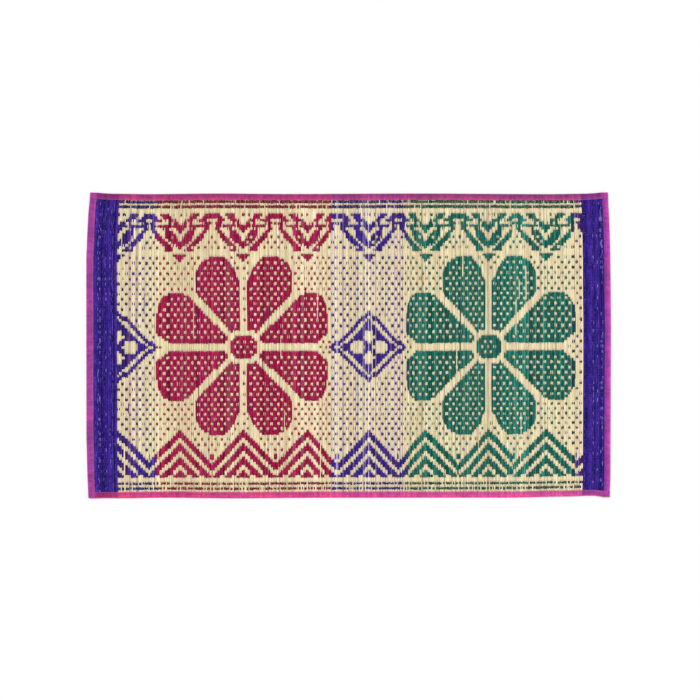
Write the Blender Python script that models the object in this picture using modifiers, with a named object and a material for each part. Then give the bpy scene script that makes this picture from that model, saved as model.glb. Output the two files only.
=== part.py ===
"""Korai mat: one flat woven sedge panel with cloth tape folded over its four edges.

Metres, +Z up. The long side lies along X, the stalks lie along Y, and the origin is the
middle of the underside. Every piece is laid out on a straight rectangle first, and then
moved by uneven_outline(), which gives all of them the same slightly wandering edges.
"""

import math
from collections import namedtuple

import bpy
from mathutils import Vector

# Overall sizes, over the folds of the tape.
MAT_LENGTH = 1.83
MAT_WIDTH = 1.06

# Cloths.
PANEL_THICKNESS = 0.0024
TAPE_THICKNESS = 0.0010
PIECE_GAP = 0.0003
FOLD_ROOM = 0.0016        # from the panel's cut edge to the inside of the tape's fold
FOLD_STEPS = 5            # facets round the fold
LONG_TAPE_OVERHANG = 0.001  # the long tapes cover the end tapes' folds by this much

# How far each tape reaches in over the panel, from its own fold.
LEFT_TAPE_WIDTH = 0.0255
RIGHT_TAPE_WIDTH = 0.0220
LONG_TAPE_WIDTH = 0.0213

# The panel climbs onto the lower leg of the tape between these distances from its edge.
RAMP_START = 0.027
RAMP_END = 0.062
CORNER_RAMP_END = 0.044   # where the long tape has come down off the end tape's upper leg
RAMP_FACETS = 4
RIM_MIDDLE = 0.013
LONG_CELLS = 24
WIDE_CELLS = 12

# Each edge's wander: share is the place along the edge, from -1 to 1 along +X or +Y, and
# out is how far the edge stands outside the straight rectangle there.
Wander = namedtuple("Wander", "share out")
LEFT_WANDER = (
    Wander(-1.00, -0.0075), Wander(-0.80, -0.0030), Wander(-0.60, -0.0005),
    Wander(0.55, 0.0000), Wander(0.80, -0.0045), Wander(1.00, -0.0140),
)
RIGHT_WANDER = (
    Wander(-1.00, -0.0050), Wander(-0.85, -0.0015), Wander(0.15, 0.0000),
    Wander(0.50, -0.0015), Wander(0.78, -0.0045), Wander(1.00, -0.0110),
)
FAR_WANDER = (
    Wander(-1.00, 0.0045), Wander(-0.93, 0.0005), Wander(-0.78, -0.0015),
    Wander(-0.50, 0.0008), Wander(-0.24, -0.0010), Wander(0.25, 0.0008),
    Wander(0.80, -0.0015), Wander(0.93, 0.0008), Wander(1.00, 0.0050),
)
NEAR_WANDER = (
    Wander(-1.00, 0.0010), Wander(-0.87, 0.0012), Wander(-0.70, -0.0010),
    Wander(-0.45, 0.0015), Wander(-0.10, -0.0008), Wander(0.60, -0.0010),
    Wander(0.86, -0.0050), Wander(0.93, -0.0080), Wander(1.00, -0.0020),
)
WANDER_REACH = 3          # the power by which a wander dies out towards the middle
OUTLINE_SHIFT = -0.00177  # along Y, so that the box of the uneven outline is centred

# Finishes.
SEDGE_COLOUR = (0.70, 0.60, 0.35, 1.0)
TAPE_COLOUR = (0.36, 0.03, 0.24, 1.0)
SEDGE_ROUGHNESS = 0.55
TAPE_ROUGHNESS = 0.8

HALF_LENGTH = MAT_LENGTH / 2
HALF_WIDTH = MAT_WIDTH / 2
END_FOLD = HALF_LENGTH - LONG_TAPE_OVERHANG
PANEL_INSET = TAPE_THICKNESS + FOLD_ROOM
TAPE_STEP = TAPE_THICKNESS + PIECE_GAP


def clear_scene():
    """Removes whatever objects the file starts with."""
    for item in list(bpy.data.objects):
        bpy.data.objects.remove(item, do_unlink=True)


def smooth(share):
    """0 to 1 with level ends, for a share from 0 to 1."""
    share = min(max(share, 0.0), 1.0)
    return share * share * (3.0 - 2.0 * share)


def wander_at(rows, share):
    """An edge's offset at one place along it, eased between the table's rows."""
    share = min(max(share, rows[0].share), rows[-1].share)
    for low, high in zip(rows, rows[1:]):
        if share <= high.share:
            part = smooth((share - low.share) / (high.share - low.share))
            return low.out + (high.out - low.out) * part
    return rows[-1].out


def uneven_outline(x, y, z):
    """Moves a point of the straight layout to its place in the real, uneven outline."""
    across = x / HALF_LENGTH
    along = y / HALF_WIDTH
    right = wander_at(RIGHT_WANDER, along) * max(across, 0.0) ** WANDER_REACH
    left = wander_at(LEFT_WANDER, along) * max(-across, 0.0) ** WANDER_REACH
    far = wander_at(FAR_WANDER, across) * max(along, 0.0) ** WANDER_REACH
    near = wander_at(NEAR_WANDER, across) * max(-along, 0.0) ** WANDER_REACH
    return Vector((x + right - left, y + far - near + OUTLINE_SHIFT, z))


def ramp(distance, end):
    """1 over the tape at an edge, easing down to 0 at the distance end."""
    return 1.0 - smooth((distance - RAMP_START) / (end - RAMP_START))


def lift_over_end_tape(x):
    """How far an end tape's lower leg raises what lies on it."""
    return TAPE_STEP * ramp(HALF_LENGTH - abs(x), RAMP_END)


def lift_over_long_tape(y):
    """How far a long tape's lower leg raises what lies on it."""
    return TAPE_STEP * ramp(HALF_WIDTH - abs(y), RAMP_END)


def panel_underside(x, y):
    """The height of the panel's underside: level in the middle, raised by the tapes."""
    return lift_over_end_tape(x) + lift_over_long_tape(y)


def stations(half, inset, cells):
    """Places from one edge to the other, close together over the rim and even between."""
    step = (RAMP_END - RAMP_START) / RAMP_FACETS
    rim = [inset, RIM_MIDDLE] + [RAMP_START + step * i for i in range(RAMP_FACETS + 1)]
    inner_half = half - RAMP_END
    inner = [inner_half * (2.0 * i / cells - 1.0) for i in range(1, cells)]
    return [d - half for d in rim] + inner + [half - d for d in reversed(rim)]


def make_material(name, colour, roughness):
    """A plain non-metallic finish."""
    material = bpy.data.materials.new(name)
    material.use_nodes = True
    shader = material.node_tree.nodes["Principled BSDF"]
    shader.inputs["Base Color"].default_value = colour
    shader.inputs["Roughness"].default_value = roughness
    shader.inputs["Metallic"].default_value = 0.0
    return material


def cloth(name, columns, rows, place, thickness, material, collection):
    """A cloth whose outer face is a grid laid on place(column, row), thickened inwards."""
    bpy.ops.mesh.primitive_grid_add(
        x_subdivisions=len(columns) - 1, y_subdivisions=len(rows) - 1, size=2.0
    )
    piece = bpy.context.object
    piece.name = name
    piece.data.name = name
    for vertex in piece.data.vertices:
        column = round((vertex.co.x + 1.0) / 2.0 * (len(columns) - 1))
        row = round((vertex.co.y + 1.0) / 2.0 * (len(rows) - 1))
        vertex.co = place(columns[column], rows[row])
    solid = piece.modifiers.new("thickness", "SOLIDIFY")
    solid.thickness = thickness
    solid.offset = -1.0
    solid.use_even_offset = True
    piece.data.materials.append(material)
    for holder in list(piece.users_collection):
        holder.objects.unlink(piece)
    collection.objects.link(piece)
    return piece


def make_panel(material, collection):
    """The woven panel: one sheet, level in the middle, with its rim raised by the tapes."""
    columns = stations(HALF_LENGTH, PANEL_INSET + LONG_TAPE_OVERHANG, LONG_CELLS)
    rows = stations(HALF_WIDTH, PANEL_INSET, WIDE_CELLS)

    def place(x, y):
        return uneven_outline(x, y, panel_underside(x, y) + PANEL_THICKNESS)

    return cloth("woven_panel", columns, rows, place, PANEL_THICKNESS, material, collection)


def folded_section(width, bottom, top):
    """The outer face of a tape folded round an edge, as (distance from the fold, height).

    It runs in along the lower leg, round the fold and back along the upper leg.
    """
    middle = (bottom + top) / 2.0
    half_height = (top - bottom) / 2.0
    section = [(width, bottom)]
    for i in range(FOLD_STEPS + 1):
        angle = math.pi * (i / FOLD_STEPS - 0.5)
        distance = PANEL_INSET * (1.0 - math.cos(angle))
        section.append((distance, middle + half_height * math.sin(angle)))
    section.append((width, top))
    return section


def make_end_tape(name, side, width, material, collection):
    """The tape on a short edge; side is -1 on the left and 1 on the right."""
    places = stations(HALF_WIDTH, PANEL_INSET, WIDE_CELLS)
    columns = [side * y for y in places]
    rows = range(FOLD_STEPS + 3)

    def place(y, row):
        bottom = lift_over_long_tape(y)
        top = bottom + PANEL_THICKNESS + 2.0 * TAPE_STEP
        distance, z = folded_section(width, bottom, top)[row]
        return uneven_outline(side * (END_FOLD - distance), y, z)

    return cloth(name, columns, rows, place, TAPE_THICKNESS, material, collection)


def make_long_tape(name, side, material, collection):
    """The tape on a long edge, over the end tapes; side is -1 on the near edge, 1 on the far."""
    places = stations(HALF_LENGTH, 0.0, LONG_CELLS)
    columns = [-side * x for x in places]
    rows = range(FOLD_STEPS + 3)

    def place(x, row):
        over_end_tape = TAPE_STEP * ramp(HALF_LENGTH - abs(x), CORNER_RAMP_END)
        top = lift_over_end_tape(x) + PANEL_THICKNESS + 2.0 * TAPE_STEP + over_end_tape
        distance, z = folded_section(LONG_TAPE_WIDTH, 0.0, top)[row]
        return uneven_outline(x, side * (HALF_WIDTH - distance), z)

    return cloth(name, columns, rows, place, TAPE_THICKNESS, material, collection)


def main():
    """Builds the five cloths in a collection named for the mat."""
    clear_scene()
    collection = bpy.data.collections.new("korai_mat")
    bpy.context.scene.collection.children.link(collection)
    sedge = make_material("sedge_weave", SEDGE_COLOUR, SEDGE_ROUGHNESS)
    tape = make_material("binding_tape", TAPE_COLOUR, TAPE_ROUGHNESS)
    make_panel(sedge, collection)
    make_end_tape("end_tape_left", -1, LEFT_TAPE_WIDTH, tape, collection)
    make_end_tape("end_tape_right", 1, RIGHT_TAPE_WIDTH, tape, collection)
    make_long_tape("long_tape_far", 1, tape, collection)
    make_long_tape("long_tape_near", -1, tape, collection)


main()
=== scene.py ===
"""Looks of a korai mat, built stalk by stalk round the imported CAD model.

Metres, +Z up, in the frame's own axes: the stalks lie along Y and the long side along X.
Each pick of the weave is four dyed stalks and four natural ones. Where a dyed stalk is on the
face its natural neighbour is on the back, so the back shows the pattern's negative. Places are
first worked out on a straight layout, and then moved to the uneven outline that is measured
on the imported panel.
"""

from collections import namedtuple

import bpy
import numpy as np
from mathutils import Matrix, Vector
from mathutils.bvhtree import BVHTree


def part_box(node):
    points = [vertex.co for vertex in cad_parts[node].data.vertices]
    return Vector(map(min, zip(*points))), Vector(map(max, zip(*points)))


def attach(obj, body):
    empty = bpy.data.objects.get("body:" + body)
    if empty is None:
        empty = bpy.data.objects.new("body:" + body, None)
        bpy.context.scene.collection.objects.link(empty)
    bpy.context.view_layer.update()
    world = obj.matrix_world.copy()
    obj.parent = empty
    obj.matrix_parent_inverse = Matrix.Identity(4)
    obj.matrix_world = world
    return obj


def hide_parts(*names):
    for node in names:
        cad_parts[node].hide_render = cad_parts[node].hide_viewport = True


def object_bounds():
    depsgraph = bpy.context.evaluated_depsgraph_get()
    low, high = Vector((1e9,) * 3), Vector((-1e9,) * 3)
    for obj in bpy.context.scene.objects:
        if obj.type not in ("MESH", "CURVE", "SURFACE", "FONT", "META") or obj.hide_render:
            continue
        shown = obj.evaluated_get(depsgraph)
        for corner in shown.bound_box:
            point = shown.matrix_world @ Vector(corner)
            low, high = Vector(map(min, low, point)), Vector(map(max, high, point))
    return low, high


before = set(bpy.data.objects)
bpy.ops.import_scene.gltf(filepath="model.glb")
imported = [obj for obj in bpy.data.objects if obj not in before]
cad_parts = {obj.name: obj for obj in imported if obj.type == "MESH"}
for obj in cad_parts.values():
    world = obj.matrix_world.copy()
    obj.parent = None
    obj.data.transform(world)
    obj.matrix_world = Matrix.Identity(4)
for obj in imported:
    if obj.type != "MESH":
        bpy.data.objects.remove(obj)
cad_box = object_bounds()
rng = np.random.default_rng(1742)

# ---------------------------------------------------------------- sizes, in metres

# A line is the boundary between two picks: line n lies between pick n - 1 and pick n.
# The loom's beat is uneven, so the lines are spread evenly only between these places, which
# are chosen from measurements of the photo's columns of ties.
FIRST_LINE = -20
LAST_LINE = 137
Anchor = namedtuple("Anchor", "line x")
ANCHORS = (
    Anchor(-11, -0.8075), Anchor(-8, -0.7663), Anchor(0, -0.6721), Anchor(4, -0.6208),
    Anchor(7, -0.5860), Anchor(16, -0.4793), Anchor(26, -0.3668), Anchor(35, -0.2607),
    Anchor(45, -0.1424), Anchor(53, -0.0610), Anchor(55, -0.0324), Anchor(58, 0.0042),
    Anchor(62, 0.0504), Anchor(64, 0.0715), Anchor(68, 0.1144), Anchor(75, 0.1947),
    Anchor(78, 0.2223), Anchor(82, 0.2668), Anchor(86, 0.3152), Anchor(95, 0.4203),
    Anchor(99, 0.4627), Anchor(102, 0.4929), Anchor(104, 0.5170), Anchor(106, 0.5379),
    Anchor(112, 0.6083), Anchor(118, 0.6808), Anchor(126, 0.7774), Anchor(129, 0.8178),
)
PICK_UNEVENNESS = 0.10      # of a pick's width
STALKS = 4                  # stalks of each colour in a pick
COLUMN = 0.75               # of a pick, a column of the border motifs: three stalks

# Rows are the spaces between neighbouring warp threads, counted from the flowers' middle.
# They are not quite evenly spaced: an offset is how far a row lies beyond its even place,
# by measurements of the photo.
FIRST_ROW = -58
LAST_ROW = 57
MIDDLE_ROW_Y = -0.0026
ROW_PITCH_FAR = 0.00915
ROW_PITCH_NEAR = 0.00901
RowOffset = namedtuple("RowOffset", "row rows")
ROW_OFFSETS = (
    RowOffset(-58, 0.0), RowOffset(-55, 0.2), RowOffset(-50, -0.1), RowOffset(-46, -0.1),
    RowOffset(-38, 0.4), RowOffset(-32, 0.45), RowOffset(-28, 0.2), RowOffset(-20, -0.3),
    RowOffset(-16, -0.3), RowOffset(-8, 0.0), RowOffset(0, 0.0), RowOffset(6, -0.25),
    RowOffset(10, 0.35), RowOffset(18, 0.5), RowOffset(21, 0.15), RowOffset(33, 0.05),
    RowOffset(42, -0.12), RowOffset(50, 0.35), RowOffset(53, 0.35), RowOffset(57, 0.0),
)
# The rows are beaten a little askew: how far they lie off in Y, from left to right, by
# measurements of the photo.
Lean = namedtuple("Lean", "x y")
LEANS = (
    Lean(-0.75, -0.0037), Lean(-0.58, -0.0038), Lean(-0.34, -0.0020), Lean(0.0, -0.0026),
    Lean(0.27, -0.0022), Lean(0.50, -0.0005), Lean(0.80, 0.0007),
)
LEAN_FADE = (44, 53)        # rows from the middle, where the lean begins to fade and where
LEAN_LEFT = 0.3             # only this much of it is left
PLATEAU = 0.34              # of a row, from its middle to where a stalk starts to change sides
LINE_FULLNESS = 0.12        # of a row
ROW_UNEVENNESS = 0.10       # of a row, for a whole pick
END_UNEVENNESS = 0.16       # of a row, for each stalk

# Stalks.
FACE_HEIGHT = 0.00088       # from the panel's middle surface to a stalk
HEIGHT_UNEVENNESS = 0.00008
STALK_UNEVENNESS = 0.25     # of a stalk's width
STALK_ROLL = 0.0003         # a stalk's edges rise and sink by this much
GAP_NATURAL = (0.00006, 0.0011)
GAP_DYED = (0.00004, 0.0006)
GAP_BELOW = 0.0001
GAP_AT_CHANGE = 0.0005
STALK_WANDER = 0.00035
GROUP_WANDER = 0.0011
WANDER_SPREAD = 14.0        # stalks

# Warp threads.
THREAD_WIDTH = 0.00042
THREAD_LIFT = 0.00015
THREAD_WANDER = 0.0003

# Tapes.
TAPE_CLOTH = 0.0006
TAPE_DROP = 0.0002          # the cloth's outer faces lie this far inside the solid's
TAPE_STATION = 0.0038
LEG_STEPS = 14
FOLD_STEPS = 8
INNER_STEPS = 5
EDGE_WANDER = 0.0007
END_INSET = 0.0025          # the end stations' heights are measured this far inside
PUCKER = 0.00018
DROOP = 0.0005              # the upper leg sinks by this much at its inner edge
HEM_WIDTH = 0.0045
HEM_RISE = 0.00018
HEM_STEP = 0.001            # over which the hem rises
COLOUR_FADE = 0.002         # over which the panel starts to show through

# Stitches.
STITCH_PITCH = 0.0046
STITCH_LENGTH = 0.0034
STITCH_WIDTH = 0.00055
STITCH_INSET = 0.0028       # from the tape's inner edge
STITCH_UNEVENNESS = 0.0003  # along the row
STITCH_STRAY = 0.0002       # across it
STITCH_ARCH = (-0.0002, 0.00018, -0.0002)   # its ends dip into the cloth
STITCH_SINK_TOP = 0.00015
STITCH_SINK_BOTTOM = 0.00005
END_MARGIN = 0.004          # the row stops this far from each end of a tape

# The room.
CAMERA_LENS = 85.0
SENSOR_WIDTH = 36.0
VIEW_WIDTH = 2.440
CAMERA_SIDE = 0.0052
CAMERA_DOWN = -0.0166
FLOOR_SIZE = 9.0
WORLD_LIGHT = 0.62
SUN_LIGHT = 1.9
SUN_ANGLE = 0.35
SUN_TURN = (-0.55, -0.45, 0.0)


# ---------------------------------------------------------------- colours

def linear(code):
    """The linear colour of a six-figure sRGB code."""
    parts = np.array([int(code[i:i + 2], 16) for i in (0, 2, 4)]) / 255.0
    return np.where(parts <= 0.04045, parts / 12.92, ((parts + 0.055) / 1.055) ** 2.4)


NATURAL_SHINE = 0.18
DYED_SHINE = 0.05

# Each kind of stalk: its usual colours, each with how often it comes up.
Shade = namedtuple("Shade", "colour weight")
NATURAL = (
    Shade("E8D8A8", 6), Shade("F3E4BE", 4), Shade("D8CD9E", 3), Shade("EFD4B2", 3),
    Shade("DCC19A", 1),
)
MAROON = (
    Shade("94003A", 5), Shade("A20448", 4), Shade("840030", 3), Shade("AE0C5C", 2),
    Shade("6E0438", 1), Shade("B83060", 1),
)
GREEN = (
    Shade("146658", 5), Shade("0C564C", 4), Shade("0A463E", 2), Shade("26806F", 3),
    Shade("1A3844", 1), Shade("40968A", 1),
)
VIOLET = (
    Shade("3A2088", 5), Shade("2E1A6E", 4), Shade("48289A", 2), Shade("2A1656", 2),
    Shade("5A2878", 2), Shade("6E5AA8", 1),
)
BLUE = (
    Shade("2E187A", 5), Shade("28146E", 4), Shade("3A2290", 3), Shade("1C0A54", 1),
    Shade("5A42AC", 1),
)
BLUE_TIE = (
    Shade("4A3698", 4), Shade("342080", 2), Shade("7C6CBC", 2), Shade("1A0850", 2),
)
# Natural stalks that took up dye beside the violet ones, and how many of them did.
STAINED = (Shade("C8B8B4", 3), Shade("B4A4B8", 1), Shade("D8C8B0", 3))
STAINED_SHARE = 0.3
# Picks whose dyed stalks came from another bath, and single odd stalks by their line.
ODD_PICKS = {
    75: "252C66", 21: "8C3A50", 43: "93405A", 76: "1C4A56", 126: "1C3C48", 128: "3A1450",
}
ODD_STALKS = {
    54.375: "B4A4D0", 54.625: "9D8AC4", 62.125: "A795C4", 63.875: "BBA8CC", 65.625: "1E1040",
    66.125: "8C7CC0",
}

# Each tape: its colour at the fold and at its inner edge, how much it lets through from
# below, how much of that is the single row under it, how far its hem comes in further, and
# how much its red, green and blue gain from its middle to its right end.
TapeLook = namedtuple("TapeLook", "outer inner see_through sharpness wider drift")
TAPE_LOOKS = {
    "long_tape_far": TapeLook("821266", "9A3078", 0.4, 0.35, 0.001, (-0.1, 0.2, 0.2)),
    "long_tape_near": TapeLook("EA3690", "C04A8C", 0.52, 0.35, 0.0, (0.1, 0.6, 0.45)),
    "end_tape_left": TapeLook("AC38A0", "A8408E", 0.22, 0.5, 0.0, (0.0, 0.0, 0.0)),
    "end_tape_right": TapeLook("DA44BC", "642080", 0.12, 0.5, 0.0, (0.0, 0.0, 0.0)),
}
CORNER_REACH = 0.024        # how far a long tape lies over the end tapes
CORNER_COLOUR = "A83492"
TAPE_TINT = np.array([1.05, 0.11, 0.72])
TAPE_STREAK = 0.14


def pick_colours(shades, count):
    """One colour for each of count stalks, drawn from the shades and varied a little."""
    weights = np.array([shade.weight for shade in shades], float)
    table = np.array([linear(shade.colour) for shade in shades])
    chosen = table[rng.choice(len(shades), count, p=weights / weights.sum())]
    return chosen * rng.uniform(0.90, 1.10, (count, 1))


# ---------------------------------------------------------------- measuring the frame

def faces_of(node):
    """A search tree of one CAD node's faces."""
    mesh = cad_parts[node].data
    return BVHTree.FromPolygons([v.co for v in mesh.vertices],
                                [tuple(p.vertices) for p in mesh.polygons])


def first_hit(tree, start, direction, axis):
    """Where a ray first meets a tree's faces, as one coordinate."""
    return tree.ray_cast(Vector(start), Vector(direction))[0][axis]


class Outline:
    """The panel's uneven outline and its height over the floor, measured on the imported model."""

    RAYS = 61
    REACH = 0.98            # how near to the corners the edges are measured
    FALLOFF = 3             # the power by which an edge's wander dies out towards the middle
    RIM_RAY_SHARE = 0.63    # of the panel's highest point, a height that crosses its whole rim
    LIFT_RAYS = (240, 160)  # along X and along Y
    LIFT_MARGIN = 0.0005    # the outermost of them is this far inside the edge

    def __init__(self, node):
        tree = faces_of(node)
        low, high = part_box(node)
        z = self.RIM_RAY_SHARE * high.z
        self.thickness = first_hit(tree, (0, 0, 1), (0, 0, -1), 2)
        ys = np.linspace(-1, 1, self.RAYS) * self.REACH * (high.y - low.y) / 2
        xs = np.linspace(-1, 1, self.RAYS) * self.REACH * (high.x - low.x) / 2
        left = np.array([first_hit(tree, (-2, y, z), (1, 0, 0), 0) for y in ys])
        right = np.array([first_hit(tree, (2, y, z), (-1, 0, 0), 0) for y in ys])
        near = np.array([first_hit(tree, (x, -2, z), (0, 1, 0), 1) for x in xs])
        far = np.array([first_hit(tree, (x, 2, z), (0, -1, 0), 1) for x in xs])
        self.half_x = (np.median(right) - np.median(left)) / 2
        self.half_y = (np.median(far) - np.median(near)) / 2
        self.shift_y = (np.median(far) + np.median(near)) / 2
        self.xs, self.ys = xs, ys
        self.right, self.left = right - self.half_x, -left - self.half_x
        self.far = far - self.shift_y - self.half_y
        self.near = self.shift_y - near - self.half_y
        self.lift_xs = np.linspace(0, self.half_x - self.LIFT_MARGIN, self.LIFT_RAYS[0])
        self.lift_ys = np.linspace(0, self.half_y - self.LIFT_MARGIN, self.LIFT_RAYS[1])
        self.lifts_x = [first_hit(tree, (x, 0, -1), (0, 0, 1), 2) for x in self.lift_xs]
        self.lifts_y = [first_hit(tree, (0, y + self.shift_y, -1), (0, 0, 1), 2)
                        for y in self.lift_ys]

    def place(self, x, y):
        """Moves points of the straight layout to their places in the real outline."""
        across, along = x / self.half_x, y / self.half_y
        right = np.interp(y, self.ys, self.right) * np.maximum(across, 0) ** self.FALLOFF
        left = np.interp(y, self.ys, self.left) * np.maximum(-across, 0) ** self.FALLOFF
        far = np.interp(x, self.xs, self.far) * np.maximum(along, 0) ** self.FALLOFF
        near = np.interp(x, self.xs, self.near) * np.maximum(-along, 0) ** self.FALLOFF
        return x + right - left, y + far - near + self.shift_y

    def middle_height(self, x, y):
        """The height of the panel's middle surface over a place of the straight layout."""
        return (np.interp(np.abs(x), self.lift_xs, self.lifts_x)
                + np.interp(np.abs(y), self.lift_ys, self.lifts_y) + self.thickness / 2)


outline = Outline("woven_panel")


# ---------------------------------------------------------------- the draft: what is on the face

MIDDLE_VIOLET = 53
Block = namedtuple("Block", "name first last shades")
BLOCKS = (
    Block("blue", FIRST_LINE, -12, BLUE), Block("violet", -11, -1, VIOLET),
    Block("maroon", 0, 52, MAROON), Block("violet", MIDDLE_VIOLET, 74, VIOLET),
    Block("green", 75, 126, GREEN), Block("violet", 127, 128, VIOLET),
    Block("blue", 129, LAST_LINE - 1, BLUE),
)
# The border motifs: the lines that each one starts at, is centred on and ends at.
Unit = namedtuple("Unit", "first centre last")
UNITS = (
    Unit(FIRST_LINE, -11, -1.8), Unit(-1.8, 6.8, 16.5), Unit(16.5, 26.1, 35.5),
    Unit(35.5, 45, 54.5), Unit(54.5, 64.1, 72.8), Unit(72.8, 82.2, 91.4),
    Unit(91.4, 101.4, 108.9), Unit(108.9, 118.7, 127.1), Unit(127.1, 136.5, LAST_LINE),
)
# A flower's right half may be woven a little narrower than its left.
Flower = namedtuple("Flower", "centre squeeze")
FLOWERS = (Flower(26, 1.0), Flower(101.6, 1.02))
DIAMOND_CENTRES = (-11, 64)
DIAMOND_REACH = 12

# Half a leaf motif of the far border in columns, from its middle outwards, the far row first:
# X dyed, x dyed in some of its stalks, . natural.
LEAF_FAR_ROW = 50
LEAF_CHART = (
    "x.x.xXXX..XXX",
    "....XXX..XXXX",
    "..xXXx.xXXX..",
    ".xX.X....xXXx",
    "XXXxXXXXXxXx.",
    "XX..xXx...XX.",
    "X..XXX...XX..",
    "..XXXX..XX...",
    ".xXXXx.XXX...",
    ".XXXX.XXX....",
    "XXXX.XXX.....",
    "XXx.XXX......",
    "X..XXX.......",
    "..xXXX.......",
)
PART_DYED = 0.6             # of the stalks in an x
BARE_ROW = 36
BARE_FROM_ROW = 43
TRIANGLE_ROWS = {35: 2, 34: 1, 33: 0}      # and the last column that each one reaches
FAR_LINE_ROWS = (53, 55, 57)               # dyed from side to side, one row high
NEAR_LINE_ROWS = (-53, -55, -57)           # the same in dashes
FAR_LINE_SHARE = 0.95                      # of the stalks are dyed
NEAR_LINE_SHARE = 0.95
DASH_END_SHARE = 0.5                       # and of each pick's last stalks
LINE_SHADE = 0.6                           # of their own lightness is left there

# The flower, in picks and rows from its middle.
Reach = namedtuple("Reach", "up picks")
TALL_OUTER = (
    Reach(7, 4.75), Reach(19, 13.75), Reach(20, 14.0), Reach(21, 14.5), Reach(28, 14.5),
    Reach(29, 14.3), Reach(31, 13.4), Reach(32, 13.0), Reach(33, 12.0), Reach(34, 10.6),
)
TALL_INNER = (
    Reach(25, 1.0), Reach(27, 2.0), Reach(30, 2.7), Reach(31, 3.4), Reach(33, 4.8),
    Reach(34, 5.5),
)
LONG_INNER = (
    Reach(2, 5.5), Reach(3, 4.75), Reach(4, 4.75), Reach(5, 5.5), Reach(8, 7.75),
    Reach(9, 9.25), Reach(18, 16.0), Reach(19, 16.5), Reach(20, 17.9),
)
LONG_OUTER = (
    Reach(2, 22.5), Reach(4, 24.3), Reach(5, 25.5), Reach(6, 25.9), Reach(12, 25.9),
    Reach(13, 25.6), Reach(15, 25.6), Reach(18, 24.5), Reach(19, 23.9), Reach(20, 22.8),
)
TALL_ROWS = (7, 34)
LONG_ROWS = (2, 20)
PETAL_TIP = (6, 3.25, 4.0)      # its row, and from which to which pick
BAR_ROWS = 1                    # rows of the level bar, each way from the middle
RING_SIDE = 5.5
RING_UP = 6
DISC = (Reach(2, 4.0), Reach(3, 3.25), Reach(4, 2.5))

# The diamond: its rings are bands of rows + slope * picks from the middle.
DIAMOND_SLOPE = 1.2
DIAMOND_OUTER = (11.9, 13.9)
DIAMOND_INNER = 10.2
SIDE_OVAL = (3.7, 2.15, 2.7)   # picks from the middle, half width in picks, half height in rows
END_OVAL = (4.15, 1.75, 2.2)   # rows from the middle, half width in picks, half height in rows

# The chevrons of the near border: one row lower in each column from the middle outwards.
CHEVRON_TOP = -33
CHEVRON_PERIOD = 5
CHEVRON_BAND = 3
CHEVRON_CLOSED_ROW = -49
CHEVRON_LAST_ROW = -50
CROWN_SIDE = 9.0
CROWN_ROWS = (-43, -42)

TIE_SPLIT_SHARE = 0.15      # of the ties have their middle stalk missing
BLUE_TIE_SHARES = (0.26, 0.06)   # of the blue band shows the other weft: even and odd rows
STRAY_RUNS = 36             # stalks that keep to the face for a while against the draft
STRAY_DYED = 0.2            # of them are dyed ones
STRAY_ROWS = (4, 24)

picks = np.arange(FIRST_LINE, LAST_LINE)
rows = np.arange(FIRST_ROW, LAST_ROW + 1)
n_picks, n_rows = len(picks), len(rows)
n_stalks = n_picks * STALKS
stalk_at = FIRST_LINE + (np.arange(n_stalks) + 0.5) / STALKS    # in lines
stalk_pick = np.repeat(picks, STALKS)


def reach_at(table, up):
    """A petal's reach in picks at some rows from its middle."""
    return np.interp(up, [r.up for r in table], [r.picks for r in table])


def column_of(side):
    """The column of a border motif, counted from its middle, at some picks from the middle."""
    return np.where(side < 0.5, 0, 1 + np.floor((side - 0.5) / COLUMN)).astype(int)


def flower(d, row):
    """Where the flower is dyed, and where it is plain natural with no ties."""
    side, up = np.abs(d), np.abs(row)
    tall_outer, long_inner = reach_at(TALL_OUTER, up), reach_at(LONG_INNER, up)
    tall = (up >= TALL_ROWS[0]) & (up <= TALL_ROWS[1])
    bar = tall & (d > -1) & (d < 0)
    tall = tall & (side > reach_at(TALL_INNER, up)) & (side < tall_outer)
    tip_row, tip_from, tip_to = PETAL_TIP
    tall |= (up == tip_row) & (side > tip_from) & (side < tip_to)
    long = (up >= LONG_ROWS[0]) & (up <= LONG_ROWS[1])
    stripe = (up >= TALL_ROWS[0]) & long & (side >= tall_outer) & (side <= long_inner)
    long = long & (side > long_inner) & (side < reach_at(LONG_OUTER, up))
    disc = (side < reach_at(DISC, up)) & (up <= DISC[-1].up)
    level = (up <= BAR_ROWS) & (side <= LONG_OUTER[0].picks)
    ring = (side <= RING_SIDE) & (up <= RING_UP)
    dyed = tall | long | disc
    return dyed, (stripe | level | ring | bar) & ~dyed


def diamond(d, row):
    """Where the diamond is dyed, and all that it covers, where there are no ties."""
    column = column_of(np.abs(d))
    side = np.where(column == 0, 0.0, 0.5 + COLUMN * (column - 0.5))
    up = np.abs(row)
    ring = up + DIAMOND_SLOPE * side
    dyed = (ring > DIAMOND_OUTER[0]) & (ring <= DIAMOND_OUTER[1])
    inner = ring <= DIAMOND_INNER
    centre, half_width, half_height = SIDE_OVAL
    inner &= ((side - centre) / half_width) ** 2 + (up / half_height) ** 2 > 1
    centre, half_width, half_height = END_OVAL
    inner &= (side / half_width) ** 2 + ((up - centre) / half_height) ** 2 > 1
    return dyed | inner, ring <= DIAMOND_OUTER[1]


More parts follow.
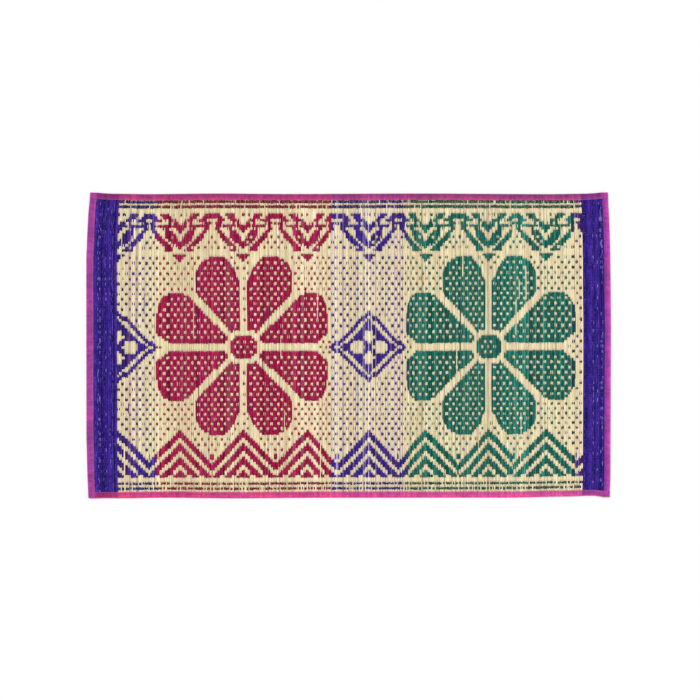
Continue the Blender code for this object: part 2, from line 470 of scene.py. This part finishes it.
def motifs():
    """For each stalk and row: dyed on the face or not, and where no ties are made."""
    u, j = np.meshgrid(stalk_at, rows, indexing="ij")
    dyed = np.zeros(u.shape, bool)
    plain = (j == BARE_ROW) | (j >= BARE_FROM_ROW) | (j < CHEVRON_LAST_ROW)
    part = rng.random(u.shape) < PART_DYED
    for centre, squeeze in FLOWERS:
        d = u - centre
        here, bare = flower(np.where(d > 0, d * squeeze, d), j)
        dyed |= here
        plain |= bare
    for centre in DIAMOND_CENTRES:
        here, covered = diamond(u - centre, j)
        in_reach = (np.abs(u - centre) <= DIAMOND_REACH) & (u > DIAMOND_CENTRES[0])
        dyed |= here & in_reach
        plain |= covered & in_reach
    for first, centre, last in UNITS:
        side = np.abs(u - centre)
        mine = (u > first) & (u <= last)
        column = column_of(side)
        depth = CHEVRON_TOP - j - column
        band = CHEVRON_BAND + (j == CHEVRON_CLOSED_ROW)
        chevron = (depth >= 0) & (depth % CHEVRON_PERIOD < band) & (j >= CHEVRON_LAST_ROW)
        crown = (side > CROWN_SIDE) & (j >= CROWN_ROWS[0]) & (j <= CROWN_ROWS[1])
        dyed |= mine & (chevron | crown)
        plain |= mine & (depth >= 0)
        for row, last in TRIANGLE_ROWS.items():
            dyed |= mine & (j == row) & (column <= last)
        for offset, code in enumerate(LEAF_CHART):
            marks = np.array(list(code))[np.minimum(column, len(code) - 1)]
            cell = mine & (j == LEAF_FAR_ROW - offset)
            dyed |= cell & ((marks == "X") | ((marks == "x") & part))
    return dyed, plain


def draft():
    """For each stalk and row: dyed on the face or not."""
    dyed, plain = motifs()
    # A pick may be tied where its stalks, the stalk before them and the rows each side agree.
    padded = np.pad(dyed, ((1, 0), (1, 1)), mode="edge")
    near = padded[np.arange(n_picks)[:, None] * STALKS + np.arange(STALKS + 1)]
    low, high = near.min(axis=1), near.max(axis=1)
    low = np.minimum(np.minimum(low[:, :-2], low[:, 1:-1]), low[:, 2:])
    high = np.maximum(np.maximum(high[:, :-2], high[:, 1:-1]), high[:, 2:])
    k, j = np.meshgrid(picks, rows, indexing="ij")
    even = k % 2 == 0
    tie = (even & (j % 4 == 2)) | (~even & (j % 4 == 0))
    tie &= (low == high) & ~plain.reshape(n_picks, STALKS, n_rows).any(axis=1)
    tied = np.repeat(tie[:, None, :], STALKS, axis=1)
    tied[:, STALKS - 1] = False
    tied[:, 1] &= rng.random(tie.shape) > TIE_SPLIT_SHARE
    face = dyed ^ tied.reshape(n_stalks, n_rows)
    for row in FAR_LINE_ROWS:
        face[:, row - FIRST_ROW] = rng.random(n_stalks) < FAR_LINE_SHARE
    last = np.arange(n_stalks) % STALKS == STALKS - 1
    for row in NEAR_LINE_ROWS:
        share = np.where(last, DASH_END_SHARE, NEAR_LINE_SHARE)
        face[:, row - FIRST_ROW] = rng.random(n_stalks) < share
    for _ in range(STRAY_RUNS):
        stalk = rng.integers(0, n_stalks)
        first = rng.integers(4, n_rows - STRAY_ROWS[1])
        face[stalk, first:first + rng.integers(*STRAY_ROWS)] = rng.random() < STRAY_DYED
    blue = (stalk_at < DIAMOND_CENTRES[0]) | (stalk_at > BLOCKS[-1].first)
    face[blue] = rng.random((blue.sum(), n_rows)) > np.array(BLUE_TIE_SHARES)[rows % 2]
    return face


face_dyed = draft()


# ---------------------------------------------------------------- laying the weave out

def line_places():
    """Where the lines between the picks are, on the straight layout."""
    known = [Anchor(FIRST_LINE, -outline.half_x), *ANCHORS, Anchor(LAST_LINE, outline.half_x)]
    numbers = np.arange(FIRST_LINE, LAST_LINE + 1)
    places = np.interp(numbers, [a.line for a in known], [a.x for a in known])
    pitch = np.diff(places).mean()
    places[1:-1] += rng.uniform(-1, 1, len(places) - 2) * PICK_UNEVENNESS * pitch
    return places


def stalk_places(lines):
    """Where the lines between the stalks are: a few uneven stalks to a pick."""
    widths = 1 + rng.uniform(-1, 1, (n_picks, STALKS)) * STALK_UNEVENNESS
    shares = np.cumsum(widths, axis=1) / widths.sum(axis=1, keepdims=True)
    inner = lines[:-1, None] + shares * np.diff(lines)[:, None]
    return np.concatenate([lines[:1], inner.ravel()])


def row_y(v, x):
    """The straight layout's Y of a row number, which need not be whole, at some X."""
    v = np.asarray(v, float)
    offset = np.interp(v, [r.row for r in ROW_OFFSETS], [r.rows for r in ROW_OFFSETS])
    lean = np.interp(x, [a.x for a in LEANS], [a.y for a in LEANS])
    lean = lean * np.interp(np.abs(v), LEAN_FADE, (1, LEAN_LEFT))
    even = MIDDLE_ROW_Y + np.where(v > 0, ROW_PITCH_FAR, ROW_PITCH_NEAR) * (v + offset)
    return even + lean


def waves(count, y, size, shortest, longest):
    """Smooth unevenness: count rows of values over the places y."""
    total = np.zeros((count, len(y)))
    for _ in range(3):
        length = rng.uniform(shortest, longest, (count, 1))
        phase = rng.uniform(0, 2 * np.pi, (count, 1))
        total += np.sin(2 * np.pi * y[None, :] / length + phase)
    return total * size / 3


lines = line_places()
edges = stalk_places(lines)

# Two samples a row: where a stalk reaches its plateau and where it leaves it. The far lines
# are woven fuller than the rows between them.
plateau = np.where(rows >= FAR_LINE_ROWS[0] - 1, PLATEAU - LINE_FULLNESS, PLATEAU)
plateau[np.isin(rows, FAR_LINE_ROWS)] = PLATEAU + LINE_FULLNESS
sample_row = np.repeat(np.arange(n_rows), 2)
sample_v = rows[sample_row] + plateau[sample_row] * np.tile([-1, 1], n_rows)
sample_edge = np.repeat(np.arange(n_rows + 1), 2)[1:-1]   # the row boundary next to a sample
row_jitter = rng.uniform(-1, 1, (n_picks, n_rows + 1)) * ROW_UNEVENNESS
row_jitter = np.repeat(row_jitter, STALKS, axis=0)
row_jitter += rng.uniform(-1, 1, row_jitter.shape) * END_UNEVENNESS
sample_y = row_y(sample_v[None, :] + row_jitter[:, sample_edge], edges[:-1, None])
sample_y = np.clip(sample_y, -outline.half_y, outline.half_y)
sample_y[:, 0] = -outline.half_y
sample_y[:, -1] = outline.half_y
mean_y = sample_y.mean(axis=0)

# Each stalk wanders a little, and neighbours wander further together.
numbers = np.arange(n_stalks + 1)
together = np.exp(-0.5 * ((numbers[:, None] - numbers[None, :]) / WANDER_SPREAD) ** 2)
together /= np.sqrt((together ** 2).sum(axis=1, keepdims=True))
stalk_lines = together @ waves(n_stalks + 1, mean_y, GROUP_WANDER, 0.15, 0.8)
stalk_lines += waves(n_stalks + 1, mean_y, STALK_WANDER, 0.10, 0.45)
stalk_lines *= np.clip(np.minimum(numbers, n_stalks - numbers) / WANDER_SPREAD, 0, 1)[:, None]
stalk_lines += edges[:, None]

changes = np.zeros((n_stalks, n_rows + 1), bool)
changes[:, 1:-1] = face_dyed[:, 1:] != face_dyed[:, :-1]
at_change = changes[:, sample_edge]

dyed_colour = np.zeros((n_stalks, 3))
natural_colour = pick_colours(NATURAL, n_stalks)
for block in BLOCKS:
    here = (stalk_pick >= block.first) & (stalk_pick <= block.last)
    dyed_colour[here] = pick_colours(block.shades, here.sum())
    if block.name == "blue":
        natural_colour[here] = pick_colours(BLUE_TIE, here.sum())
    if block.first == MIDDLE_VIOLET:
        stained = here & (rng.random(n_stalks) < STAINED_SHARE)
        natural_colour[stained] = pick_colours(STAINED, stained.sum())
for pick, code in ODD_PICKS.items():
    dyed_colour[stalk_pick == pick] = linear(code) * rng.uniform(0.88, 1.12, (STALKS, 1))
for place, code in ODD_STALKS.items():
    dyed_colour[np.abs(stalk_at - place) < 0.5 / STALKS] = linear(code)


def stalk_points(dyed):
    """The ribbons of one weft: an array of stalks, samples, two across, XYZ."""
    up = face_dyed[:, sample_row] == dyed
    low, high = GAP_DYED if dyed else GAP_NATURAL
    gap = low + (high - low) * rng.random((n_stalks, 1)) ** 3
    gap = np.where(up, gap + GAP_AT_CHANGE * at_change, GAP_BELOW)
    share = rng.random((n_stalks, 1))
    x = np.stack([stalk_lines[:-1] + gap * share, stalk_lines[1:] - gap * (1 - share)], axis=-1)
    y = np.broadcast_to(sample_y[..., None], x.shape)
    roll = waves(n_stalks, mean_y, STALK_ROLL, 0.12, 0.7)[..., None] * np.array([-1.0, 1.0])
    height = FACE_HEIGHT + rng.uniform(-1, 1, (n_stalks, 1, 1)) * HEIGHT_UNEVENNESS
    z = np.where(up, 1.0, -1.0)[..., None] * height + roll
    world_x, world_y = outline.place(x, y)
    return np.stack([world_x, world_y, z + outline.middle_height(x, y)], axis=-1)


# ---------------------------------------------------------------- meshes

def mesh_object(name, points, quads, material, attributes=(), smooth=True):
    """An object from arrays of points and four-cornered faces, with colours per point."""
    mesh = bpy.data.meshes.new(name)
    mesh.vertices.add(len(points))
    mesh.vertices.foreach_set("co", np.ascontiguousarray(points, np.float32).ravel())
    mesh.loops.add(quads.size)
    mesh.loops.foreach_set("vertex_index", quads.astype(np.int32).ravel())
    mesh.polygons.add(len(quads))
    mesh.polygons.foreach_set("loop_start", np.arange(0, quads.size, 4, dtype=np.int32))
    mesh.polygons.foreach_set("use_smooth", np.full(len(quads), smooth))
    mesh.update(calc_edges=True)
    mesh.validate()
    for label, colours in attributes:
        layer = mesh.color_attributes.new(name=label, type="FLOAT_COLOR", domain="POINT")
        rgba = np.ones((len(points), 4), np.float32)
        rgba[:, :3] = colours
        layer.data.foreach_set("color", rgba.ravel())
    mesh.materials.append(material)
    item = bpy.data.objects.new(name, mesh)
    bpy.context.scene.collection.objects.link(item)
    return item


def strip_quads(strips, along, across):
    """The faces of separate strips whose points are numbered strip by strip."""
    index = np.arange(strips * along * across).reshape(strips, along, across)
    corners = [index[:, :-1, :-1], index[:, :-1, 1:], index[:, 1:, 1:], index[:, 1:, :-1]]
    return np.stack(corners, axis=-1).reshape(-1, 4)


def tube_quads(tubes, along, around):
    """The faces of separate tubes, open at both ends."""
    index = np.arange(tubes * along * around).reshape(tubes, along, around)
    ahead = np.roll(index, -1, axis=2)
    corners = [index[:, :-1], ahead[:, :-1], ahead[:, 1:], index[:, 1:]]
    return np.stack(corners, axis=-1).reshape(-1, 4)


# ---------------------------------------------------------------- materials

def new_material(name):
    """A material and its node tree's shader."""
    material = bpy.data.materials.new(name)
    material.use_nodes = True
    return material, material.node_tree, material.node_tree.nodes["Principled BSDF"]


def add(tree, kind, inputs=None, **settings):
    """A node with its settings and the values of its unlinked inputs."""
    node = tree.nodes.new(kind)
    for key, value in settings.items():
        setattr(node, key, value)
    for key, value in (inputs or {}).items():
        node.inputs[key].default_value = value
    return node


def stretched_noise(tree, scale, detail=3.0, roughness=0.6):
    """Noise over the object's own coordinates, stretched by a scale for each axis."""
    coordinates = add(tree, "ShaderNodeTexCoord")
    mapping = add(tree, "ShaderNodeMapping", {"Scale": scale})
    noise = add(tree, "ShaderNodeTexNoise",
                {"Scale": 1.0, "Detail": detail, "Roughness": roughness})
    tree.links.new(coordinates.outputs["Object"], mapping.inputs["Vector"])
    tree.links.new(mapping.outputs["Vector"], noise.inputs["Vector"])
    return noise.outputs["Fac"]


def remap(tree, value, low, high, to_low, to_high):
    """A value moved from one range to another."""
    node = add(tree, "ShaderNodeMapRange", {
        "From Min": low, "From Max": high, "To Min": to_low, "To Max": to_high,
    })
    tree.links.new(value, node.inputs["Value"])
    return node.outputs["Result"]


def multiply(tree, first, second):
    """The product of two values."""
    node = add(tree, "ShaderNodeMath", operation="MULTIPLY")
    tree.links.new(first, node.inputs[0])
    tree.links.new(second, node.inputs[1])
    return node.outputs["Value"]


def sedge_material(name, fibre_contrast, patch_contrast, roughness, sheen):
    """Split sedge: the stalk's own colour, with long fibres, and dye or sun in patches."""
    material, tree, shader = new_material(name)
    own = add(tree, "ShaderNodeAttribute", attribute_name="stalk")
    fibre = stretched_noise(tree, (1500, 24, 1500), 4.0)
    patch = stretched_noise(tree, (95, 22, 95), 2.0)
    fibre_shade = remap(tree, fibre, 0.3, 0.7, 1 - fibre_contrast, 1 + fibre_contrast)
    patch_shade = remap(tree, patch, 0.32, 0.68, 1 - patch_contrast, 1 + patch_contrast)
    tone = add(tree, "ShaderNodeHueSaturation")
    tree.links.new(own.outputs["Color"], tone.inputs["Color"])
    tree.links.new(multiply(tree, fibre_shade, patch_shade), tone.inputs["Value"])
    tree.links.new(remap(tree, patch, 0.3, 0.7, 0.492, 0.508), tone.inputs["Hue"])
    tree.links.new(remap(tree, fibre, 0.3, 0.7, 1.06, 0.92), tone.inputs["Saturation"])
    tree.links.new(tone.outputs["Color"], shader.inputs["Base Color"])
    tree.links.new(remap(tree, fibre, 0.3, 0.7, roughness - 0.07, roughness + 0.1),
                   shader.inputs["Roughness"])
    shader.inputs["Specular IOR Level"].default_value = sheen
    bump = add(tree, "ShaderNodeBump", {"Strength": 0.55, "Distance": 0.00025})
    tree.links.new(fibre, bump.inputs["Height"])
    tree.links.new(bump.outputs["Normal"], shader.inputs["Normal"])
    return material


def thread_material(name, colour, pitch):
    """Twisted cotton thread: ply lines and a little dirt."""
    material, tree, shader = new_material(name)
    twist = add(tree, "ShaderNodeTexWave", {"Scale": 1.0 / pitch, "Distortion": 1.5},
                bands_direction="DIAGONAL")
    coordinates = add(tree, "ShaderNodeTexCoord")
    tree.links.new(coordinates.outputs["Object"], twist.inputs["Vector"])
    soil = stretched_noise(tree, (60, 60, 60), 2.0)
    tone = add(tree, "ShaderNodeHueSaturation", {"Color": (*colour, 1.0)})
    shade = multiply(tree, remap(tree, twist.outputs["Fac"], 0, 1, 0.8, 1.1),
                     remap(tree, soil, 0.3, 0.7, 0.85, 1.1))
    tree.links.new(shade, tone.inputs["Value"])
    tree.links.new(tone.outputs["Color"], shader.inputs["Base Color"])
    shader.inputs["Roughness"].default_value = 0.85
    bump = add(tree, "ShaderNodeBump", {"Strength": 0.6, "Distance": 0.0001})
    tree.links.new(twist.outputs["Fac"], bump.inputs["Height"])
    tree.links.new(bump.outputs["Normal"], shader.inputs["Normal"])
    return material


def tape_material(name):
    """Thin dyed tape: a fine plain weave, streaks, and what shows through from below."""
    material, tree, shader = new_material(name)
    own = add(tree, "ShaderNodeAttribute", attribute_name="cloth")
    coordinates = add(tree, "ShaderNodeTexCoord")
    weave = []
    for direction in ("X", "Y"):
        wave = add(tree, "ShaderNodeTexWave", {"Scale": 480.0, "Distortion": 0.6,
                                               "Detail": 1.0}, bands_direction=direction)
        tree.links.new(coordinates.outputs["Object"], wave.inputs["Vector"])
        weave.append(wave.outputs["Fac"])
    cloth = multiply(tree, *weave)
    streak = stretched_noise(tree, (70, 70, 70), 4.0, 0.65)
    wide = stretched_noise(tree, (11, 11, 11), 2.0)
    tone = add(tree, "ShaderNodeHueSaturation")
    tree.links.new(own.outputs["Color"], tone.inputs["Color"])
    shade = multiply(tree, remap(tree, streak, 0.3, 0.7, 0.72, 1.28),
                     remap(tree, wide, 0.3, 0.7, 0.82, 1.2))
    shade = multiply(tree, shade, remap(tree, cloth, 0, 1, 0.92, 1.14))
    tree.links.new(shade, tone.inputs["Value"])
    tree.links.new(remap(tree, wide, 0.3, 0.7, 0.49, 0.51), tone.inputs["Hue"])
    tree.links.new(tone.outputs["Color"], shader.inputs["Base Color"])
    shader.inputs["Roughness"].default_value = 0.7
    shader.inputs["Specular IOR Level"].default_value = 0.3
    shader.inputs["Sheen Weight"].default_value = 0.15
    bump = add(tree, "ShaderNodeBump", {"Strength": 0.5, "Distance": 0.00012})
    tree.links.new(cloth, bump.inputs["Height"])
    tree.links.new(bump.outputs["Normal"], shader.inputs["Normal"])
    return material


# ---------------------------------------------------------------- the woven panel's pieces

PANEL = "woven_panel"


def finish_piece(piece, node):
    """Attaches a piece of the mat to the root body and hides the CAD part that it stands for."""
    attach(piece, "root")
    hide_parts(node)
    return piece


def stalk_piece(name, points, colours, chosen, material, line_shade=1.0):
    """The chosen stalks as one mesh of separate ribbons, with their flat size."""
    ribbons = points[chosen]
    shade = np.where(np.isin(rows[sample_row], FAR_LINE_ROWS + NEAR_LINE_ROWS), line_shade, 1)
    shades = colours[chosen][:, None, None] * shade[:, None, None]
    shades = np.broadcast_to(shades, ribbons.shape).reshape(-1, 3)
    quads = strip_quads(*ribbons.shape[:3])
    piece = mesh_object(name, ribbons.reshape(-1, 3), quads, material, [("stalk", shades)])
    finish_piece(piece, PANEL)
    widths = np.resize(np.diff(edges), len(chosen))
    return piece, (float(widths[chosen].sum()), 2 * float(outline.half_y))


def in_blocks(*names):
    """Which stalks belong to the named blocks."""
    return np.any([(stalk_pick >= b.first) & (stalk_pick <= b.last)
                   for b in BLOCKS if b.name in names], axis=0)


def make_stalks():
    """Every stalk of the panel, by colour. Returns the pieces with their flat sizes."""
    dyed_points = stalk_points(True)
    natural_points = stalk_points(False)
    natural = sedge_material("sedge_natural", 0.10, 0.08, 0.55, NATURAL_SHINE)
    made = []
    patterned = in_blocks("maroon", "green", "violet")
    for name, half in (("left", stalk_pick < MIDDLE_VIOLET),
                       ("right", stalk_pick >= MIDDLE_VIOLET)):
        made.append(stalk_piece("stalks_natural_" + name, natural_points, natural_colour,
                                patterned & half, natural))
    for block in ("maroon", "green", "violet"):
        material = sedge_material("sedge_" + block, 0.25, 0.2, 0.5, DYED_SHINE)
        made.append(stalk_piece("stalks_" + block, dyed_points, dyed_colour,
                                in_blocks(block), material,
                                LINE_SHADE))
    both = np.concatenate([dyed_points, natural_points])
    colours = np.concatenate([dyed_colour, natural_colour])
    blue = sedge_material("sedge_blue", 0.3, 0.3, 0.5, DYED_SHINE)
    made.append(stalk_piece("stalks_blue", both, colours, np.tile(in_blocks("blue"), 2),
                            blue))
    return made


def make_warp():
    """The warp threads, one on each row boundary, over one pick and under the next."""
    crossings = np.arange(1, n_rows)
    places = np.empty(2 * n_picks + 1)
    places[0::2] = lines
    places[1::2] = (lines[:-1] + lines[1:]) / 2
    over = (picks[None, :] + crossings[:, None]) % 2 * 2.0 - 1.0
    turning = changes.reshape(n_picks, STALKS, n_rows + 1).any(axis=1)[:, crossings].T
    rise = np.zeros((len(crossings), len(places)))
    rise[:, 1::2] = over * (np.where(turning, 0.0, FACE_HEIGHT) + THREAD_LIFT)
    y = row_y(rows[crossings, None] - 0.5, places[None, :])
    y = y + waves(len(crossings), places, THREAD_WANDER, 0.1, 0.6)
    x = np.broadcast_to(places, y.shape)
    x = np.stack([x, x], axis=-1)
    y = np.stack([y + THREAD_WIDTH / 2, y - THREAD_WIDTH / 2], axis=-1)
    world_x, world_y = outline.place(x, y)
    z = rise[..., None] + outline.middle_height(x, y)
    points = np.stack([world_x, world_y, z], axis=-1)
    quads = strip_quads(*points.shape[:3])
    material = thread_material("warp_cotton", (0.55, 0.47, 0.33), 0.0009)
    piece = mesh_object("warp_threads", points.reshape(-1, 3), quads[:, ::-1], material)
    return finish_piece(piece, PANEL)


# ---------------------------------------------------------------- the tapes

def face_colour(x, y, sharpness):
    """The panel's colour under places of the straight layout.

    A share of it is the very row there, and the rest is a third dyed and two thirds natural.
    """
    stalk = np.clip(np.searchsorted(edges, x) - 1, 0, n_stalks - 1)
    v = (y - MIDDLE_ROW_Y) / np.where(y > MIDDLE_ROW_Y, ROW_PITCH_FAR, ROW_PITCH_NEAR)
    row = np.clip(np.rint(v).astype(int) - FIRST_ROW, 0, n_rows - 1)
    dyed = face_dyed[stalk, row][..., None]
    seen = np.where(dyed, dyed_colour[stalk], natural_colour[stalk])
    mixed = (dyed_colour[stalk] + 2 * natural_colour[stalk]) / 3
    return seen * sharpness + mixed * (1 - sharpness)


class Tape:
    """One binding tape, folded over an edge of the panel.

    axis is the axis that it runs along, 0 or 1, and side is -1 or 1 on the other axis.
    Distances are from the outside of its fold, inwards.
    """

    def __init__(self, node, axis, side):
        self.node, self.axis, self.side, self.look = node, axis, side, TAPE_LOOKS[node]
        self.tree = faces_of(node)
        edge = outline.half_y if axis == 0 else outline.half_x
        along = outline.half_x if axis == 0 else outline.half_y
        level = outline.RIM_RAY_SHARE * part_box(PANEL)[1].z
        start = [0.0, 0.0, level]
        start[1 - axis] = 2.0 * side
        direction = [0.0, 0.0, 0.0]
        direction[1 - axis] = -side
        fold = first_hit(self.tree, start, direction, 1 - axis)
        middle = outline.shift_y if axis == 0 else 0.0
        self.fold_out = abs(fold - middle) - edge
        self.edge = edge + self.fold_out
        self.half_length = along + self.fold_out * (1.0 if axis == 0 else -0.2)
        top_level = level + outline.thickness * 0.6
        inner = first_hit(self.tree, (0.0, 0.0, top_level), [-d for d in direction], 1 - axis)
        self.width = self.edge - abs(inner - middle) + self.look.wider
        count = int(2 * self.half_length / TAPE_STATION)
        self.stations = np.linspace(-self.half_length, self.half_length, count)
        self.measure_heights()
        self.wander = waves(1, self.stations, EDGE_WANDER, 0.05, 0.4)[0]

    def straight(self, place, distance):
        """A point of the straight layout from a place along the tape and a distance."""
        out = self.side * (self.edge - distance)
        return (place, out) if self.axis == 0 else (out, place)

    def measure_heights(self):
        """The solid's highest and lowest points along the middle of its legs."""
        inside = self.stations * (1 - END_INSET / self.half_length)
        x, y = outline.place(*self.straight(inside, np.full_like(inside, self.width / 2)))
        highest = [first_hit(self.tree, (a, b, 1), (0, 0, -1), 2) for a, b in zip(x, y)]
        lowest = [first_hit(self.tree, (a, b, -1), (0, 0, 1), 2) for a, b in zip(x, y)]
        self.top = np.array(highest) - TAPE_DROP
        self.bottom = np.array(lowest) + TAPE_DROP

    def section(self):
        """Distances and heights of the closed section at every station.

        It runs along the outside, in from the lower leg and back out on the upper one, and
        then along the inside. Returns the distances and the heights, as arrays of stations by
        points.
        """
        lower = np.linspace(1, 0, LEG_STEPS // 2)[:-1]
        angle = np.linspace(-np.pi / 2, np.pi / 2, FOLD_STEPS + 1)
        upper = np.linspace(0, 1, LEG_STEPS)[1:]
        width = (self.width + self.wander)[:, None]
        radius = self.fold_out + TAPE_CLOTH
        top, bottom = self.top[:, None], self.bottom[:, None]
        middle, half = (top + bottom) / 2, (top - bottom) / 2
        ones = np.ones((len(self.stations), 1))
        outer_d = [radius + (width - radius) * lower, ones * radius * (1 - np.cos(angle)),
                   radius + (width - radius) * upper]
        puckers = waves(len(upper), self.stations, PUCKER, 0.012, 0.09).T * upper
        hem = np.clip((outer_d[2] - width + HEM_WIDTH) / HEM_STEP, 0, 1) * HEM_RISE
        droop = -DROOP * upper ** 3
        outer_z = [ones * bottom * np.ones_like(lower), middle + half * np.sin(angle),
                   top + puckers + hem + droop]
        back = np.linspace(1, 0, INNER_STEPS)
        inner_angle = angle[::-2]
        inner_radius = radius - TAPE_CLOTH
        inner_d = [radius + (width - radius) * back[:-1],
                   radius - ones * inner_radius * np.cos(inner_angle),
                   radius + (width - radius) * back[::-1][1:]]
        under_top = top + (puckers + droop)[:, -1:] * back[:-1] - TAPE_CLOTH
        inner_z = [under_top, middle + (half - TAPE_CLOTH) * np.sin(inner_angle),
                   ones * (bottom + TAPE_CLOTH) * np.ones(INNER_STEPS - 1)]
        distance = np.concatenate(outer_d + inner_d, axis=1)
        height = np.concatenate(outer_z + inner_z, axis=1)
        return distance, height

    def colours(self, distance, height):
        """The cloth's colour at each point: its own, and what it lets through from below."""
        place = np.broadcast_to(self.stations[:, None], distance.shape)
        x, y = self.straight(place, distance)
        below = face_colour(x, y, self.look.sharpness) * TAPE_TINT
        over_panel = np.clip((distance - self.fold_out) / COLOUR_FADE, 0, 1)
        over_panel = over_panel * (height > (self.top + self.bottom)[:, None] / 2)
        corner = (np.abs(place) > outline.half_x - CORNER_REACH) & (self.axis == 0)
        share = (over_panel * ~corner * self.look.see_through)[..., None]
        inward = np.clip(distance / self.width, 0, 1)[..., None]
        own = linear(self.look.outer) * (1 - inward) + linear(self.look.inner) * inward
        own = own * (1 + np.array(self.look.drift) * (place / self.half_length)[..., None])
        own = np.where(corner[..., None], linear(CORNER_COLOUR), own)
        streak = 1 + rng.uniform(-1, 1, (len(self.stations), 1, 1)) * TAPE_STREAK
        return (own * (1 - share) + below * share) * streak

    def make(self, material):
        """The folded tape as one mesh, closed round its section and open at both ends."""
        distance, height = self.section()
        place = np.broadcast_to(self.stations[:, None], distance.shape)
        x, y = outline.place(*self.straight(place, distance))
        points = np.stack([x, y, height], axis=-1)[None]
        quads = tube_quads(*points.shape[:3])
        if (self.axis == 0) == (self.side > 0):
            quads = quads[:, ::-1]
        colours = self.colours(distance, height).reshape(-1, 3)
        piece = mesh_object("cloth_" + self.node, points.reshape(-1, 3), quads, material,
                            [("cloth", colours)])
        finish_piece(piece, self.node)
        developed = 2 * self.width + self.top.mean() - self.bottom.mean()
        return piece, (2 * float(self.half_length), float(developed))

    def stitch_points(self):
        """A row of stitches along the inner edge, above and below: stitches, rings, points."""
        count = int(2 * (self.half_length - END_MARGIN) / STITCH_PITCH)
        middles = (np.arange(count) - (count - 1) / 2) * STITCH_PITCH
        middles = middles + rng.uniform(-STITCH_UNEVENNESS, STITCH_UNEVENNESS, count)
        rings = np.array([-0.5, 0.0, 0.5])
        place = middles[:, None] + rings * STITCH_LENGTH
        offset = np.interp(place, self.stations, self.width + self.wander) - STITCH_INSET
        offset = offset + rng.uniform(-STITCH_STRAY, STITCH_STRAY, (count, 3))
        top = np.interp(place, self.stations, self.top) - STITCH_SINK_TOP
        bottom = np.interp(place, self.stations, self.bottom) + STITCH_SINK_BOTTOM
        arch = np.array(STITCH_ARCH)
        made = []
        for level, up in ((top, 1), (bottom, -1)):
            corners = []
            for across, rise in ((-0.5, 0.0), (0.0, 0.5), (0.5, 0.0), (0.0, -0.5)):
                x, y = self.straight(place, offset + across * STITCH_WIDTH)
                x, y = outline.place(x, y)
                z = level + up * arch + rise * STITCH_WIDTH * 0.7
                corners.append(np.stack([x, y, np.maximum(z, 0.00003)], axis=-1))
            made.append(np.stack(corners, axis=2))
        return np.concatenate(made)


def make_stitches(tapes):
    """All the stitches of the four tapes as one mesh."""
    points = np.concatenate([tape.stitch_points() for tape in tapes])
    quads = tube_quads(*points.shape[:3])
    index = np.arange(points.shape[0] * points.shape[1] * 4).reshape(points.shape[:3])
    caps = np.concatenate([index[:, 0, ::-1], index[:, -1]])
    material = thread_material("stitch_cotton", (0.62, 0.30, 0.52), 0.0006)
    piece = mesh_object("stitches", points.reshape(-1, 3), np.concatenate([quads, caps]),
                        material)
    return finish_piece(piece, "long_tape_far")


# ---------------------------------------------------------------- the room

def make_room():
    """A white floor, soft light from above and one side, and the camera straight above."""
    bpy.ops.mesh.primitive_plane_add(size=FLOOR_SIZE)
    floor = bpy.context.object
    floor.name = "floor"
    material, _, shader = new_material("floor_paper")
    shader.inputs["Base Color"].default_value = (0.93, 0.93, 0.93, 1.0)
    shader.inputs["Roughness"].default_value = 0.9
    floor.data.materials.append(material)

    world = bpy.data.worlds.new("studio")
    world.use_nodes = True
    world.node_tree.nodes["Background"].inputs["Color"].default_value = (1, 1, 1, 1)
    world.node_tree.nodes["Background"].inputs["Strength"].default_value = WORLD_LIGHT
    bpy.context.scene.world = world

    key = bpy.data.lights.new("key", "SUN")
    key.energy = SUN_LIGHT
    key.angle = SUN_ANGLE
    key_object = bpy.data.objects.new("key", key)
    key_object.rotation_euler = SUN_TURN
    bpy.context.scene.collection.objects.link(key_object)

    lens = bpy.data.cameras.new("camera")
    lens.lens = CAMERA_LENS
    lens.sensor_width = SENSOR_WIDTH
    lens.clip_end = 50.0
    camera = bpy.data.objects.new("camera", lens)
    height = VIEW_WIDTH * CAMERA_LENS / SENSOR_WIDTH
    camera.location = (CAMERA_SIDE, CAMERA_DOWN, height + cad_box[1].z / 2)
    bpy.context.scene.collection.objects.link(camera)
    bpy.context.scene.camera = camera
    bpy.context.scene.view_settings.view_transform = "Standard"


# ---------------------------------------------------------------- putting it together

make_room()
stalks = make_stalks()
warp = make_warp()
tape_cloth = tape_material("tape_cloth")
tapes = (
    Tape("long_tape_far", 0, 1), Tape("long_tape_near", 0, -1),
    Tape("end_tape_left", 1, -1), Tape("end_tape_right", 1, 1),
)
for tape in tapes:
    cloth, flat = tape.make(tape_cloth)
stitches = make_stitches(tapes)
